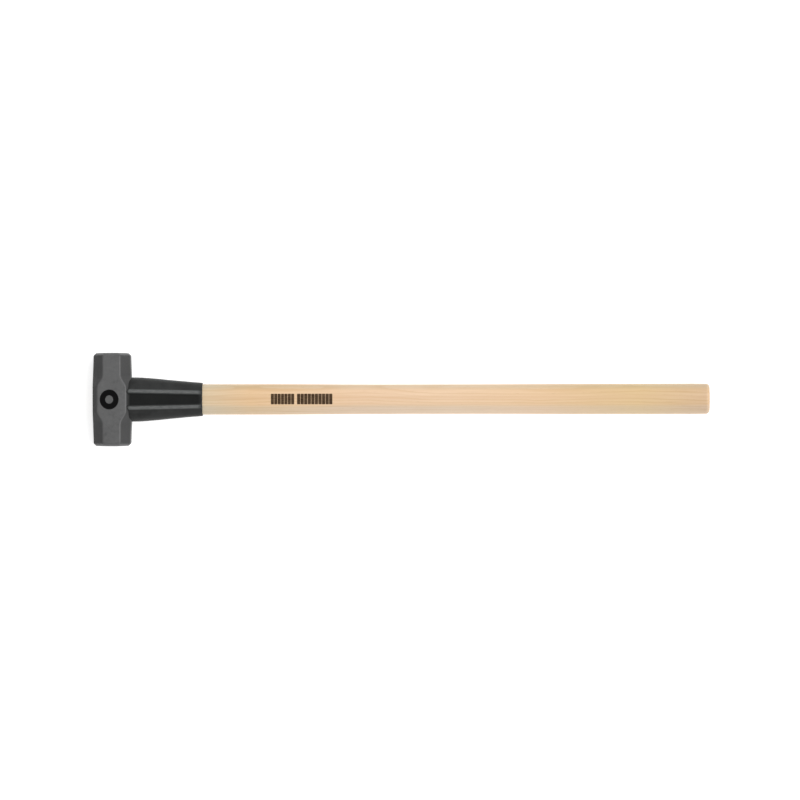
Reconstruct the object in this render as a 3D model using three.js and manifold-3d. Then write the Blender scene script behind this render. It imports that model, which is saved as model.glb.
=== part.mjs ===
// Double-faced sledge hammer with a wooden handle, hung in the head with wedges.
// Millimetres, +Z up. The hammer lies on its side: +X runs along the handle from the head to the
// grip end, Y is the striking direction, and Z = 0 is the plane of the head's lower cheek.
// The origin is on that plane, straight under the middle of the head's eye.
import * as THREE from "three";
import { mergeVertices } from "three/addons/utils/BufferGeometryUtils.js";
import Module from "manifold-3d";

const wasm = await Module();
wasm.setup();

// ---- driving dimensions -------------------------------------------------------------------
const OVERALL = 914.4; // head's outer side to grip end
const HEAD_HALF_X = 28.6; // half width along the handle, at the eye
const HEAD_END_X = 27.6; // the same at the striking ends
const HEAD_HALF_Z = 27.6; // half depth, cheek to cheek, at the eye
const HEAD_END_Z = 26.8;
const HEAD_HALF_Y = 69.55; // centre to striking face
const FACE_BEVEL = 4.6; // bevel round each striking face
const DIAG_EYE = 34.5; // centre to the corner flats beside the eye
const DIAG_END = 28.6; // centre to the octagon's slanted flats
const AXIS_Z = HEAD_HALF_Z; // height of the handle's axis

const EYE_B = 18.6; // eye mouth, half length along Y
const EYE_C = 13.4; // eye mouth, half width along Z
const EYE_WAIST = 0.93; // waist of the eye, as a share of its mouth
const CLEAR = 0.25; // gap between touching pieces

const STAMP_R = 14.4; // oval stamped ring on the upper cheek, outer radius along Y
const STAMP_SQUASH = 0.95; // its width along X, as a share of that along Y
const STAMP_RING = 8.0; // width of the ring's groove
const STAMP_X = -3.5; // its centre
const STAMP_DEPTH = 0.9;

const GUARD_X0 = HEAD_HALF_X + 0.3; // guard's mouth, against the head
const GUARD_LIP = 7.0; // how far its lip laps over the head's corner flats
const GUARD_X1 = 134.0;
const GRIP_ROUND = 5.0; // rounding at the grip end
const X_END = OVERALL - HEAD_HALF_X; // grip end
const TONGUE_X0 = -HEAD_HALF_X + 0.4; // end of the tongue, just under the head's outer side

const KERF_DEPTH = 44; // saw cut for the wooden wedge
const WOOD_WEDGE = { length: 41, thick: 7.0, tip: 1.6 };
const STEEL_WEDGE = { length: 26, width: 17, thick: 3.4, tip: 0.9, y: 9.6 };

// ---- helpers ------------------------------------------------------------------------------
// Closed three.js geometry to a solid, and back.
function solid(geometry) {
  const g = (geometry.index ? geometry.toNonIndexed() : geometry.clone());
  g.deleteAttribute("normal");
  g.deleteAttribute("uv");
  const m = mergeVertices(g, 1e-4);
  return new wasm.Manifold(
    new wasm.Mesh({
      numProp: 3,
      vertProperties: new Float32Array(m.attributes.position.array),
      triVerts: new Uint32Array(m.index.array),
    }),
  );
}
function geometryOf(s) {
  const mesh = s.getMesh();
  const n = mesh.numProp;
  const v = new Float32Array(mesh.numVert * 3);
  for (let i = 0; i < mesh.numVert; i++)
    v.set(mesh.vertProperties.subarray(i * n, i * n + 3), i * 3);
  const g = new THREE.BufferGeometry();
  g.setAttribute("position", new THREE.BufferAttribute(v, 3));
  g.setIndex(new THREE.BufferAttribute(new Uint32Array(mesh.triVerts), 1));
  g.computeVertexNormals();
  return g;
}
const lerp = (a, b, t) => a + (b - a) * t;
const smooth = (t) => {
  const u = Math.min(1, Math.max(0, t));
  return u * u * (3 - 2 * u);
};
// Value of a list of [position, value] pairs at x, eased between neighbours.
function along(table, x) {
  if (x <= table[0][0]) return table[0][1];
  for (let i = 1; i < table.length; i++)
    if (x <= table[i][0])
      return lerp(table[i - 1][1], table[i][1], smooth((x - table[i - 1][0]) / (table[i][0] - table[i - 1][0])));
  return table[table.length - 1][1];
}
function straight(table, x) {
  if (x <= table[0][0]) return table[0][1];
  for (let i = 1; i < table.length; i++)
    if (x <= table[i][0])
      return lerp(table[i - 1][1], table[i][1], (x - table[i - 1][0]) / (table[i][0] - table[i - 1][0]));
  return table[table.length - 1][1];
}

// A spindle along +X. stations are x positions; radius(x, angle) gives [y, z] of the section there.
// It starts as a turned solid of unit radius, whose rings are then pulled to each section.
function spindle(stations, segments, section) {
  const points = [new THREE.Vector2(0, stations[0])];
  for (const x of stations) points.push(new THREE.Vector2(1, x));
  points.push(new THREE.Vector2(0, stations[stations.length - 1]));
  const g = new THREE.LatheGeometry(points, segments);
  const p = g.attributes.position;
  for (let i = 0; i < p.count; i++) {
    const x = p.getY(i);
    const r = Math.hypot(p.getX(i), p.getZ(i));
    // seam vertices are brought to one angle, so that the turned body closes exactly
    let k = Math.round((Math.atan2(p.getX(i), p.getZ(i)) / (2 * Math.PI)) * segments);
    k = ((k % segments) + segments) % segments;
    const a = (k / segments) * 2 * Math.PI;
    if (r < 0.5) p.setXYZ(i, x, 0, 0);
    else {
      const [y, z] = section(x, a);
      p.setXYZ(i, x, y, z);
    }
  }
  return g;
}
// Rounded oval: exponent 2 is an ellipse, higher is squarer.
function oval(b, c, n, a) {
  const cs = Math.cos(a), sn = Math.sin(a);
  const k = Math.pow(Math.pow(Math.abs(cs), n) + Math.pow(Math.abs(sn), n), -1 / n);
  return [b * k * cs, c * k * sn];
}
function outward(s) {
  if (s.volume() < 0) throw new Error("inside out");
  return s;
}

// ---- head ---------------------------------------------------------------------------------
// A prism whose half width, across one pair of flats, follows a profile along Y.
function flats(profile, angle) {
  const shape = new THREE.Shape();
  const right = profile.map(([y, w]) => [w, y]);
  shape.moveTo(right[0][0], right[0][1]);
  for (const [x, y] of right.slice(1)) shape.lineTo(x, y);
  for (const [x, y] of right.slice().reverse()) shape.lineTo(-x, y);
  shape.closePath();
  const g = new THREE.ExtrudeGeometry(shape, { depth: 100, bevelEnabled: false, steps: 1 });
  g.translate(0, 0, -50);
  g.rotateY(angle);
  return outward(solid(g));
}
const mirrored = (half) => [...half.map(([y, w]) => [-y, w]).reverse(), ...half.filter(([y]) => y > 0)];
const grown = (profile, d) => profile.map(([y, w]) => [y, w + d]);
const endY = HEAD_HALF_Y, bevelY = HEAD_HALF_Y - FACE_BEVEL;
const sideProfile = mirrored([
  [32, HEAD_HALF_X], [bevelY, HEAD_END_X], [endY, HEAD_END_X - FACE_BEVEL],
]);
const cheekProfile = mirrored([
  [32, HEAD_HALF_Z], [bevelY, HEAD_END_Z], [endY, HEAD_END_Z - FACE_BEVEL],
]);
const diagonal = [];
const DIAG_Y0 = 17, DIAG_Y1 = 36;
for (let i = 0; i <= 8; i++) {
  const t = i / 8;
  diagonal.push([lerp(DIAG_Y0, DIAG_Y1, t), lerp(DIAG_EYE, DIAG_END, smooth(t))]);
}
diagonal.push([bevelY, DIAG_END - 0.7], [endY, DIAG_END - 0.7 - FACE_BEVEL]);
const diagonalProfile = mirrored(diagonal);

// The forged block, its sides moved out by d.
const block = (d) => flats(grown(sideProfile, d), 0)
  .intersect(flats(grown(cheekProfile, d), Math.PI / 2))
  .intersect(flats(grown(diagonalProfile, d), Math.PI / 4))
  .intersect(flats(grown(diagonalProfile, d), -Math.PI / 4));
let headBody = block(0);

// The eye: oval, narrowest in the middle, so that the wedged tongue can't pull out either way.
const eyeScale = (x) => lerp(EYE_WAIST, 1, smooth(Math.min(1, Math.abs(x) / HEAD_HALF_X)));
const eyeStations = [-36, -HEAD_HALF_X, -20, -10, 0, 10, 20, HEAD_HALF_X, 36];
const eye = outward(solid(spindle(eyeStations, 48, (x, a) => oval(EYE_B * eyeScale(x), EYE_C * eyeScale(x), 2.15, a))));
headBody = headBody.subtract(eye);

// Stamped oval ring on the upper cheek. The lower cheek, which the hammer lies on, is plain.
function ringCut() {
  const ro = STAMP_R, ri = STAMP_R - STAMP_RING;
  const profile = [
    new THREE.Vector2(ri, -STAMP_DEPTH), new THREE.Vector2(ro, -STAMP_DEPTH),
    new THREE.Vector2(ro, 2), new THREE.Vector2(ri, 2), new THREE.Vector2(ri, -STAMP_DEPTH),
  ];
  const g = new THREE.LatheGeometry(profile, 40);
  g.rotateX(Math.PI / 2); // turned about Z
  g.scale(STAMP_SQUASH, 1, 1);
  g.translate(STAMP_X, 0, HEAD_HALF_Z);
  return outward(solid(g));
}
headBody = headBody.subtract(ringCut());

// ---- wedges -------------------------------------------------------------------------------
// A taper along +X: thick at the driven end, thin at the tip, drawn in a plane and extruded across it.
function taper(x0, length, thick, tip, width, across) {
  const shape = new THREE.Shape();
  shape.moveTo(x0, -thick / 2);
  shape.lineTo(x0 + length, -tip / 2);
  shape.lineTo(x0 + length, tip / 2);
  shape.lineTo(x0, thick / 2);
  shape.closePath();
  const g = new THREE.ExtrudeGeometry(shape, { depth: width, bevelEnabled: false });
  g.translate(0, 0, -width / 2);
  if (across === "y") g.rotateX(Math.PI / 2); // width along Y, thickness along Z
  return g;
}
// The tongue's section, which the wooden wedge is trimmed to as well.
const tongueB = (x) => EYE_B * eyeScale(x) - CLEAR;
const tongueC = (x) => EYE_C * eyeScale(x) - CLEAR;
const tongueStations = [TONGUE_X0, -20, -10, 0, 10, 20];
const tongueOnly = outward(solid(spindle(tongueStations, 48, (x, a) => oval(tongueB(x), tongueC(x), 2.15, a))));

const steelCut = (y, grow) => {
  const w = STEEL_WEDGE;
  const g = taper(TONGUE_X0 - (grow ? 3 : 0), w.length + (grow ? 3.6 : 0),
    w.thick + (grow ? 0.7 : 0), w.tip + (grow ? 0.5 : 0), w.width + (grow ? 0.5 : 0), "z");
  g.translate(0, y, 0);
  return outward(solid(g));
};
const steelA = steelCut(STEEL_WEDGE.y, false);
const steelB = steelCut(-STEEL_WEDGE.y, false);
const steelSlots = steelCut(STEEL_WEDGE.y, true).add(steelCut(-STEEL_WEDGE.y, true));

const woodRaw = outward(solid(taper(TONGUE_X0, WOOD_WEDGE.length, WOOD_WEDGE.thick, WOOD_WEDGE.tip, 60, "y")));
const woodWedge = woodRaw.intersect(tongueOnly).subtract(steelSlots);
const kerf = outward(solid(taper(TONGUE_X0 - 3, KERF_DEPTH + 3, WOOD_WEDGE.thick + 0.5 + 3 * 0.13, WOOD_WEDGE.tip + 0.4, 60, "y")));

// ---- handle -------------------------------------------------------------------------------
// Half height along Y (the striking direction) and half depth along Z, by station.
const handleB = [
  [HEAD_HALF_X + 1, EYE_B - CLEAR], [48, 21.6], [75, 22.5], [135, 22.8], [230, 22.8], [400, 22.1],
  [520, 22.15], [700, 22.6], [X_END, 22.7],
];
const handleC = [
  [HEAD_HALF_X + 1, EYE_C - CLEAR], [48, 15.6], [75, 16.6], [135, 17.0], [230, 17.0], [400, 16.4],
  [520, 16.4], [700, 16.9], [X_END, 17.2],
];
const handleN = [[HEAD_HALF_X, 2.15], [90, 2.35], [X_END, 2.35]];
const halfB = (x) => (x < HEAD_HALF_X ? tongueB(x) : along(handleB, x));
const halfC = (x) => (x < HEAD_HALF_X ? tongueC(x) : along(handleC, x));
const handleSection = (x, a) => {
  const d = X_END - x; // grip end, rounded over
  const cut = d < GRIP_ROUND ? GRIP_ROUND - Math.sqrt(Math.max(0, GRIP_ROUND ** 2 - (GRIP_ROUND - d) ** 2)) : 0;
  return oval(halfB(x) - cut, halfC(x) - cut, straight(handleN, x), a);
};
const handleStations = [
  TONGUE_X0, -20, -10, 0, 10, 20, HEAD_HALF_X + 1, 36, 42, 48, 60, 75, 135, 230,
  315, 400, 520, 610, 700, 790,
  X_END - 5, X_END - 3, X_END - 1.4, X_END - 0.35, X_END,
];
const handleBody = outward(solid(spindle(handleStations, 56, handleSection)))
  .subtract(kerf)
  .subtract(steelSlots);

// ---- overstrike guard ---------------------------------------------------------------------
// Moulded rubber sleeve round the handle below the head, ribbed along both broad sides. Its mouth
// fits round the head's corner flats, flush with the cheeks.
const guardB = [[GUARD_X0, 32.9], [44, 32.7], [66, 30.9], [84, 29.1], [102, 27.4], [120, 25.8], [GUARD_X1, 25.0]];
const guardC = [[GUARD_X0, 26.7], [44, 25.6], [66, 23.6], [84, 22.0], [102, 20.6], [120, 19.4], [GUARD_X1, 18.9]];
const RIB_HALF = 3.6, RIB_UP = 1.5, CHANNEL_DOWN = 1.3, SHOULDER_DOWN = 0.4;
const ribY = (x) => lerp(12.6, 10.4, (x - GUARD_X0) / (GUARD_X1 - GUARD_X0)); // the ribs run together slightly
const guardSection = (x, a) => {
  const b = straight(guardB, x), c = straight(guardC, x);
  const [y, z] = oval(b, c, 2.7, a);
  const s = Math.abs(y);
  const side = smooth((Math.abs(z) / c - 0.55) / 0.25); // only on the broad sides
  const tail = smooth((GUARD_X1 - x) / 9);
  const ribIn = tail * lerp(0.55, 1, smooth((x - GUARD_X0 + GUARD_LIP) / 14));
  const channelIn = tail * smooth((x - GUARD_X0 + GUARD_LIP + 1.5) / 4);
  const rib = 1 - smooth((Math.abs(s - ribY(x)) - 1.6) / (RIB_HALF - 1.6));
  const channel = 1 - smooth((s - (ribY(x) - RIB_HALF - 1.4)) / 1.8);
  const lift = side * (ribIn * RIB_UP * rib - channelIn * CHANNEL_DOWN * channel);
  return [y, z + Math.sign(z) * (lift - side * ribIn * SHOULDER_DOWN * (1 - rib) * (1 - channel))];
};
const guardStations = [GUARD_X0 - GUARD_LIP, GUARD_X0, GUARD_X0 + 4, GUARD_X0 + 9, 52, 66, 84, 102, 120, GUARD_X1 - 9, GUARD_X1 - 4, GUARD_X1];
const guardOuter = outward(solid(spindle(guardStations, 84, guardSection)));
const boreStations = [GUARD_X0 - GUARD_LIP - 2, HEAD_HALF_X + 1, 36, 42, 48, 60, 75, GUARD_X1 + 4];
const guardBore = outward(solid(spindle(boreStations, 56, (x, a) =>
  oval(along(handleB, x) + 0.3, along(handleC, x) + 0.3, straight(handleN, x), a))));
const guardBody = guardOuter.subtract(guardBore).subtract(block(0.3));

// ---- materials and assembly ---------------------------------------------------------------
const paintedSteel = new THREE.MeshStandardMaterial({ color: 0x5e5f60, roughness: 0.5, metalness: 0.35 });
const hickory = new THREE.MeshStandardMaterial({ color: 0xe6c8a4, roughness: 0.45, metalness: 0 });
const wedgeWood = new THREE.MeshStandardMaterial({ color: 0xcaa878, roughness: 0.7, metalness: 0 });
const brightSteel = new THREE.MeshStandardMaterial({ color: 0xb4b6b8, roughness: 0.35, metalness: 1 });
const blackRubber = new THREE.MeshStandardMaterial({ color: 0x2b2c2c, roughness: 0.6, metalness: 0 });

const sledgeHammer = new THREE.Group();
sledgeHammer.name = "sledge_hammer";
const hung = new THREE.Group(); // everything is centred on the handle's axis
hung.position.set(0, 0, AXIS_Z);
sledgeHammer.add(hung);

function piece(name, body, material) {
  const mesh = new THREE.Mesh(geometryOf(body), material);
  mesh.name = name;
  hung.add(mesh);
  return mesh;
}
piece("hammer_head", headBody, paintedSteel);
piece("handle", handleBody, hickory);
piece("wood_wedge", woodWedge, wedgeWood);
piece("steel_wedge_a", steelA, brightSteel);
piece("steel_wedge_b", steelB, brightSteel);
piece("overstrike_guard", guardBody, blackRubber);

export default sledgeHammer;
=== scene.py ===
"""Looks of a double-faced sledge hammer with a hickory handle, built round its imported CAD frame.

The hammer lies on its side: +X runs from the head to the grip end, Y is the striking direction and
Z = 0 is the surface that the lower cheek rests on. Profiles are in millimetres, meshes in metres.
"""

import math

import bmesh
import bpy
import numpy as np
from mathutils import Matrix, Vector, noise


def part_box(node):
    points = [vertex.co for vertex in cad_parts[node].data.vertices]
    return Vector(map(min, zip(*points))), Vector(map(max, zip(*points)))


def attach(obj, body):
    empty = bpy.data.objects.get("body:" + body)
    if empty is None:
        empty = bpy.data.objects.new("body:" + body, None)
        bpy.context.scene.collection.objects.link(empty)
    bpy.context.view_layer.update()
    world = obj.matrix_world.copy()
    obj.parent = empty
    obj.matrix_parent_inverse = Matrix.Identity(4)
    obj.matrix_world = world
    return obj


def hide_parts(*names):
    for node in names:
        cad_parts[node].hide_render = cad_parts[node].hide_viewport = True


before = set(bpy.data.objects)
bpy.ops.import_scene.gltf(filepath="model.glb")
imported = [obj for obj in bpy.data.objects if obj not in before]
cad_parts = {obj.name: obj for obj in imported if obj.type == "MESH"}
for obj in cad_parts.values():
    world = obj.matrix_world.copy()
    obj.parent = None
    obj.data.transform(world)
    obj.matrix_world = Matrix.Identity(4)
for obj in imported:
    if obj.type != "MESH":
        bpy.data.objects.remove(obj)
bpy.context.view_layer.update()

MM = 0.001
ROOT2 = math.sqrt(2.0)


# =====================================================================================
# sizes taken from the frame
# =====================================================================================
def box_mm(node):
    lo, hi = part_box(node)
    return np.array(lo) / MM, np.array(hi) / MM


head_lo, head_hi = box_mm("hammer_head")
handle_lo, handle_hi = box_mm("handle")
guard_lo, guard_hi = box_mm("overstrike_guard")
AXIS_Z = float((head_lo[2] + head_hi[2]) / 2)  # height of the handle's axis
HEAD_A = float((head_hi[0] - head_lo[0]) / 2)  # half width along the handle
HEAD_B = float((head_hi[1] - head_lo[1]) / 2)  # centre to striking face
HEAD_C = float((head_hi[2] - head_lo[2]) / 2)  # half depth
X_END = float(handle_hi[0])
TONGUE_X0 = float(handle_lo[0])
GUARD_X1 = float(guard_hi[0])
GUARD_LIP_X = float(guard_lo[0])


# =====================================================================================
# small helpers
# =====================================================================================
def smooth(t):
    t = np.clip(t, 0.0, 1.0)
    return t * t * (3.0 - 2.0 * t)


def lerp(a, b, t):
    return a + (b - a) * t


def along(table, x, ease=True):
    xs = [p[0] for p in table]
    vs = [p[1] for p in table]
    if x <= xs[0]:
        return vs[0]
    for i in range(1, len(xs)):
        if x <= xs[i]:
            t = (x - xs[i - 1]) / (xs[i] - xs[i - 1])
            return lerp(vs[i - 1], vs[i], float(smooth(t)) if ease else t)
    return vs[-1]


def oval(b, c, n, a):
    """Points of a rounded oval at the angles a: exponent 2 is an ellipse, higher is squarer."""
    cs, sn = np.cos(a), np.sin(a)
    k = (np.abs(cs) ** n + np.abs(sn) ** n) ** (-1.0 / n)
    return b * k * cs, c * k * sn


def build(name, verts, faces):
    """A mesh object from millimetre points in the row frame."""
    me = bpy.data.meshes.new(name)
    v = np.asarray(verts, float) * MM
    me.from_pydata([tuple(p) for p in v], [], faces)
    me.update()
    bm = bmesh.new()
    bm.from_mesh(me)
    bmesh.ops.recalc_face_normals(bm, faces=bm.faces)
    bm.to_mesh(me)
    bm.free()
    ob = bpy.data.objects.new(name, me)
    bpy.context.scene.collection.objects.link(ob)
    return ob


def loft(rings, cap_start=True, cap_end=True, close=False):
    """Vertices and faces of a tube through equal rings. A capped end is one centre point."""
    rings = [np.asarray(r, float) for r in rings]
    n = len(rings[0])
    verts = list(np.concatenate(rings, 0))
    faces = []
    m = len(rings)
    for i in range(m if close else m - 1):
        a, b = i * n, ((i + 1) % m) * n
        for j in range(n):
            k = (j + 1) % n
            faces.append((a + j, a + k, b + k, b + j))
    if not close:
        if cap_start:
            verts.append(rings[0].mean(0))
            c = len(verts) - 1
            faces += [(c, (j + 1) % n, j) for j in range(n)]
        if cap_end:
            verts.append(rings[-1].mean(0))
            c = len(verts) - 1
            o = (m - 1) * n
            faces += [(c, o + j, o + (j + 1) % n) for j in range(n)]
    return verts, faces


def cut(ob, cutter, operation="DIFFERENCE"):
    """Boolean with a cutter that is then removed."""
    mod = ob.modifiers.new("cut", "BOOLEAN")
    mod.operation = operation
    mod.object = cutter
    mod.solver = "EXACT"
    dg = bpy.context.evaluated_depsgraph_get()
    dg.update()
    me = bpy.data.meshes.new_from_object(ob.evaluated_get(dg))
    ob.modifiers.clear()
    old = ob.data
    ob.data = me
    me.name = ob.name
    bpy.data.meshes.remove(old)
    bpy.data.objects.remove(cutter)


def shade(ob, sharp_deg=38.0):
    """Smooth shading with sharp edges where two faces meet at more than the angle."""
    me = ob.data
    bm = bmesh.new()
    bm.from_mesh(me)
    bmesh.ops.remove_doubles(bm, verts=bm.verts, dist=2e-6)
    limit = math.radians(sharp_deg)
    for f in bm.faces:
        f.smooth = True
    for e in bm.edges:
        e.smooth = not (len(e.link_faces) == 2 and e.calc_face_angle(0.0) > limit)
    bm.to_mesh(me)
    bm.free()
    me.update()


def coords(ob):
    co = np.zeros(len(ob.data.vertices) * 3, np.float64)
    ob.data.vertices.foreach_get("co", co)
    return co.reshape(-1, 3) / MM


def set_coords(ob, co):
    ob.data.vertices.foreach_set("co", (np.asarray(co) * MM).ravel())
    ob.data.update()


def normals(ob):
    no = np.zeros(len(ob.data.vertices) * 3, np.float64)
    ob.data.vertices.foreach_get("normal", no)
    return no.reshape(-1, 3)


def attribute(ob, name, values):
    at = ob.data.attributes.new(name, "FLOAT", "POINT")
    at.data.foreach_set("value", np.asarray(values, np.float32).ravel())


def wander(points, size, seed=0.0):
    """Smooth noise between about -1 and 1 at each millimetre point; size is its wavelength."""
    off = Vector((seed * 17.13, seed * 5.71, seed * 9.37))
    return np.array([noise.noise(Vector(p) / size + off) for p in points])


# =====================================================================================
# hammer head
# =====================================================================================
DIAG_EYE, DIAG_END = 34.5, 28.6
END_A, END_C = 27.6, 26.8
BEVEL = 4.6
BEVEL_Y = HEAD_B - BEVEL
EYE_B, EYE_C, EYE_WAIST = 18.6, 13.4, 0.93
CLEAR = 0.25
STAMP_X, STAMP_R, STAMP_RING, STAMP_SQUASH, STAMP_DEPTH = -3.5, 14.4, 8.0, 0.95, 0.9


def side_at(y):
    return lerp(HEAD_A, END_A, smooth((abs(y) - 26.0) / (BEVEL_Y - 22.0)))


def cheek_at(y):
    return lerp(HEAD_C, END_C, smooth((abs(y) - 30.0) / (BEVEL_Y - 28.0)))


def diag_at(y):
    s = abs(y)
    return lerp(DIAG_EYE, DIAG_END, smooth((s - 16.5) / 20.0)) - 0.7 * np.clip(
        (s - 36.0) / (BEVEL_Y - 36.0), 0, 1
    )


ARC = 6  # segments round each corner
FLAT = {0: 26, 1: 10, 2: 100, 3: 10, 4: 26, 5: 10, 6: 26, 7: 10}  # along each side of the octagon


def octagon(y, inset, radius):
    """Rounded octagon in X and Z at y, its sides moved in by inset."""
    a, c, d = side_at(y) - inset, cheek_at(y) - inset, diag_at(y) - inset
    s = ROOT2 * d
    corner = [(a, -(s - a)), (a, s - a), (s - c, c), (-(s - c), c),
              (-a, s - a), (-a, -(s - a)), (-(s - c), -c), (s - c, -c)]
    corner = [np.array(p, float) for p in corner]
    t = radius * math.tan(math.radians(22.5))
    pts = []
    starts, ends = [], []
    for i in range(8):
        p, before, after = corner[i], corner[i - 1], corner[(i + 1) % 8]
        u = (p - before) / np.linalg.norm(p - before)
        v = (after - p) / np.linalg.norm(after - p)
        starts.append(p - u * t)
        ends.append(p + v * t)
    for i in range(8):
        p, before = corner[i], corner[i - 1]
        u = (p - before) / np.linalg.norm(p - before)
        inner = np.array([-u[1], u[0]])  # the section runs anticlockwise
        centre = starts[i] + inner * radius
        from_c = starts[i] - centre
        for k in range(ARC + 1):
            w = math.radians(45.0) * k / ARC
            pts.append(centre + np.array([from_c[0] * math.cos(w) - from_c[1] * math.sin(w),
                                          from_c[0] * math.sin(w) + from_c[1] * math.cos(w)]))
        nxt = starts[(i + 1) % 8]
        m = FLAT[i]
        for k in range(1, m):
            pts.append(lerp(ends[i], nxt, k / m))
    return np.array(pts)


def fillet(path, radii, seg=6):
    """Rounds the inner corners of a 2-D polyline."""
    out = [np.array(path[0], float)]
    for i in range(1, len(path) - 1):
        p = np.array(path[i], float)
        u = p - np.array(path[i - 1], float)
        v = np.array(path[i + 1], float) - p
        u, v = u / np.linalg.norm(u), v / np.linalg.norm(v)
        turn = math.acos(float(np.clip(u @ v, -1, 1)))
        t = radii[i - 1] * math.tan(turn / 2)
        a, b = p - u * t, p + v * t
        for k in range(seg + 1):
            w = k / seg
            out.append((1 - w) ** 2 * a + 2 * w * (1 - w) * p + w * w * b)
    out.append(np.array(path[-1], float))
    return out


CROWN = 0.8  # the striking face is slightly domed
rim = fillet([(BEVEL_Y - 2.6, 0.0), (BEVEL_Y, 0.0), (HEAD_B - CROWN, BEVEL - CROWN), (HEAD_B - CROWN + 0.06, BEVEL + 0.3)],
             [3.4, 1.5], 7)

ys = list(np.linspace(0, 15.6, 32)) + list(np.linspace(15.6, 40.0, 34))[1:] + list(np.linspace(40.0, BEVEL_Y - 2.6, 15))[1:]
half = [(y, 0.0, 1.0) for y in ys] + [(p[0], p[1], 1.0) for p in rim[1:]]
y_rim, e_rim = rim[-1]
for s in (0.97, 0.93, 0.87, 0.79, 0.7, 0.6, 0.49, 0.38, 0.27, 0.17, 0.08):
    half.append((HEAD_B - (HEAD_B - y_rim) * s * s, e_rim, s))


def head_ring(y, e, s, sign):
    sec = octagon(min(y, BEVEL_Y), e, 3.2 if e < 1 else 2.4) * s
    return np.column_stack([sec[:, 0], np.full(len(sec), sign * y), sec[:, 1] + AXIS_Z])


rings = [head_ring(y, e, s, -1) for y, e, s in reversed(half)] + [head_ring(y, e, s, 1) for y, e, s in half[1:]]
verts, faces = loft(rings)
verts[-2] = np.array([0.0, -HEAD_B, AXIS_Z])
verts[-1] = np.array([0.0, HEAD_B, AXIS_Z])
head = build("hammer_head_forging", verts, faces)

# the forging's own slight unevenness, always inwards
co, no = coords(head), normals(head)
rough = 0.10 * (0.5 + 0.5 * wander(co, 23.0, 1)) + 0.035 * (0.5 + 0.5 * wander(co, 6.5, 2))
co = co - no * rough[:, None]


def stamp_mask(x, y, soft=0.55, grow=0.0):
    r = np.sqrt(((x - STAMP_X) / STAMP_SQUASH) ** 2 + y ** 2)
    return smooth((r - (STAMP_R - STAMP_RING - grow)) / soft + 0.5) * smooth((STAMP_R + grow - r) / soft + 0.5)


on_top = co[:, 2] > AXIS_Z + HEAD_C - 1.2
press = stamp_mask(co[:, 0], co[:, 1], 0.9) * on_top
# the struck groove has a floor that isn't quite even
r_st = np.sqrt(((co[:, 0] - STAMP_X) / STAMP_SQUASH) ** 2 + co[:, 1] ** 2)
floor_var = 1.0 + 0.12 * wander(co, 4.0, 3)
co[:, 2] -= STAMP_DEPTH * press * floor_var
set_coords(head, co)


def eye_scale(x):
    return lerp(EYE_WAIST, 1.0, float(smooth(min(1.0, abs(x) / HEAD_A))))


def eye_ring(x, extra, n=96):
    a = np.linspace(0, 2 * math.pi, n, endpoint=False)
    y, z = oval(EYE_B * eye_scale(x) + extra, EYE_C * eye_scale(x) + extra, 2.15, a)
    return np.column_stack([np.full(n, x), y, z + AXIS_Z])


mouth = []  # the eye's edge is eased over
for k in range(7):
    w = k / 6
    mouth.append((HEAD_A - 1.5 + 1.5 * w, 1.3 * (1 - math.sqrt(max(0.0, 1 - (w * 0.94) ** 2)))))
stations = [(x, 0.0) for x in np.linspace(0, HEAD_A - 1.9, 12)] + mouth + [(HEAD_A + 0.6, mouth[-1][1] + 1.3), (HEAD_A + 2.5, mouth[-1][1] + 3.6)]
rings = [eye_ring(-x, e) for x, e in reversed(stations)] + [eye_ring(x, e) for x, e in stations[1:]]
v, f = loft(rings)
cut(head, build("eye_cutter", v, f))
shade(head, 34)

# masks for the finish: edges that rub bare, and the stamped groove
co = coords(head)
zz = co[:, 2] - AXIS_Z
ay = np.abs(co[:, 1])
planes = np.stack([
    np.abs(co[:, 0]) - side_at(co[:, 1]),
    np.abs(zz) - cheek_at(co[:, 1]),
    (np.abs(co[:, 0]) + np.abs(zz)) / ROOT2 - diag_at(co[:, 1]),
    (ay - BEVEL_Y) / ROOT2 + np.maximum.reduce([
        np.abs(co[:, 0]) - END_A, np.abs(zz) - END_C, (np.abs(co[:, 0]) + np.abs(zz)) / ROOT2 - (DIAG_END - 0.7)]) / ROOT2,
    ay - (HEAD_B - CROWN),
], 0)
order = np.sort(planes, 0)
edge = np.clip(1.0 - np.abs(order[-1] - order[-2]) / 1.6, 0, 1)
inside = (np.abs(co[:, 0]) < HEAD_A - 0.3) & ((co[:, 1] / EYE_B) ** 2 + (zz / EYE_C) ** 2 < 1.12)
edge[inside] = 0.0
attribute(head, "edge", edge)
near_stamp = zz > HEAD_C - 1.6
attribute(head, "stamp", stamp_mask(co[:, 0], co[:, 1], 0.9, 0.25) * near_stamp)
r_st = np.sqrt(((co[:, 0] - STAMP_X) / STAMP_SQUASH) ** 2 + co[:, 1] ** 2)
attribute(head, "disc", smooth((STAMP_R - STAMP_RING - r_st) / 0.8 + 0.5) * near_stamp)
attribute(head, "face", smooth((ay - (HEAD_B - CROWN - 0.9)) / 0.8))
attribute(head, "slant", smooth((order[-1] - np.maximum(planes[0], planes[1])) / 1.2) * (planes[2] > -1.0))

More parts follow.
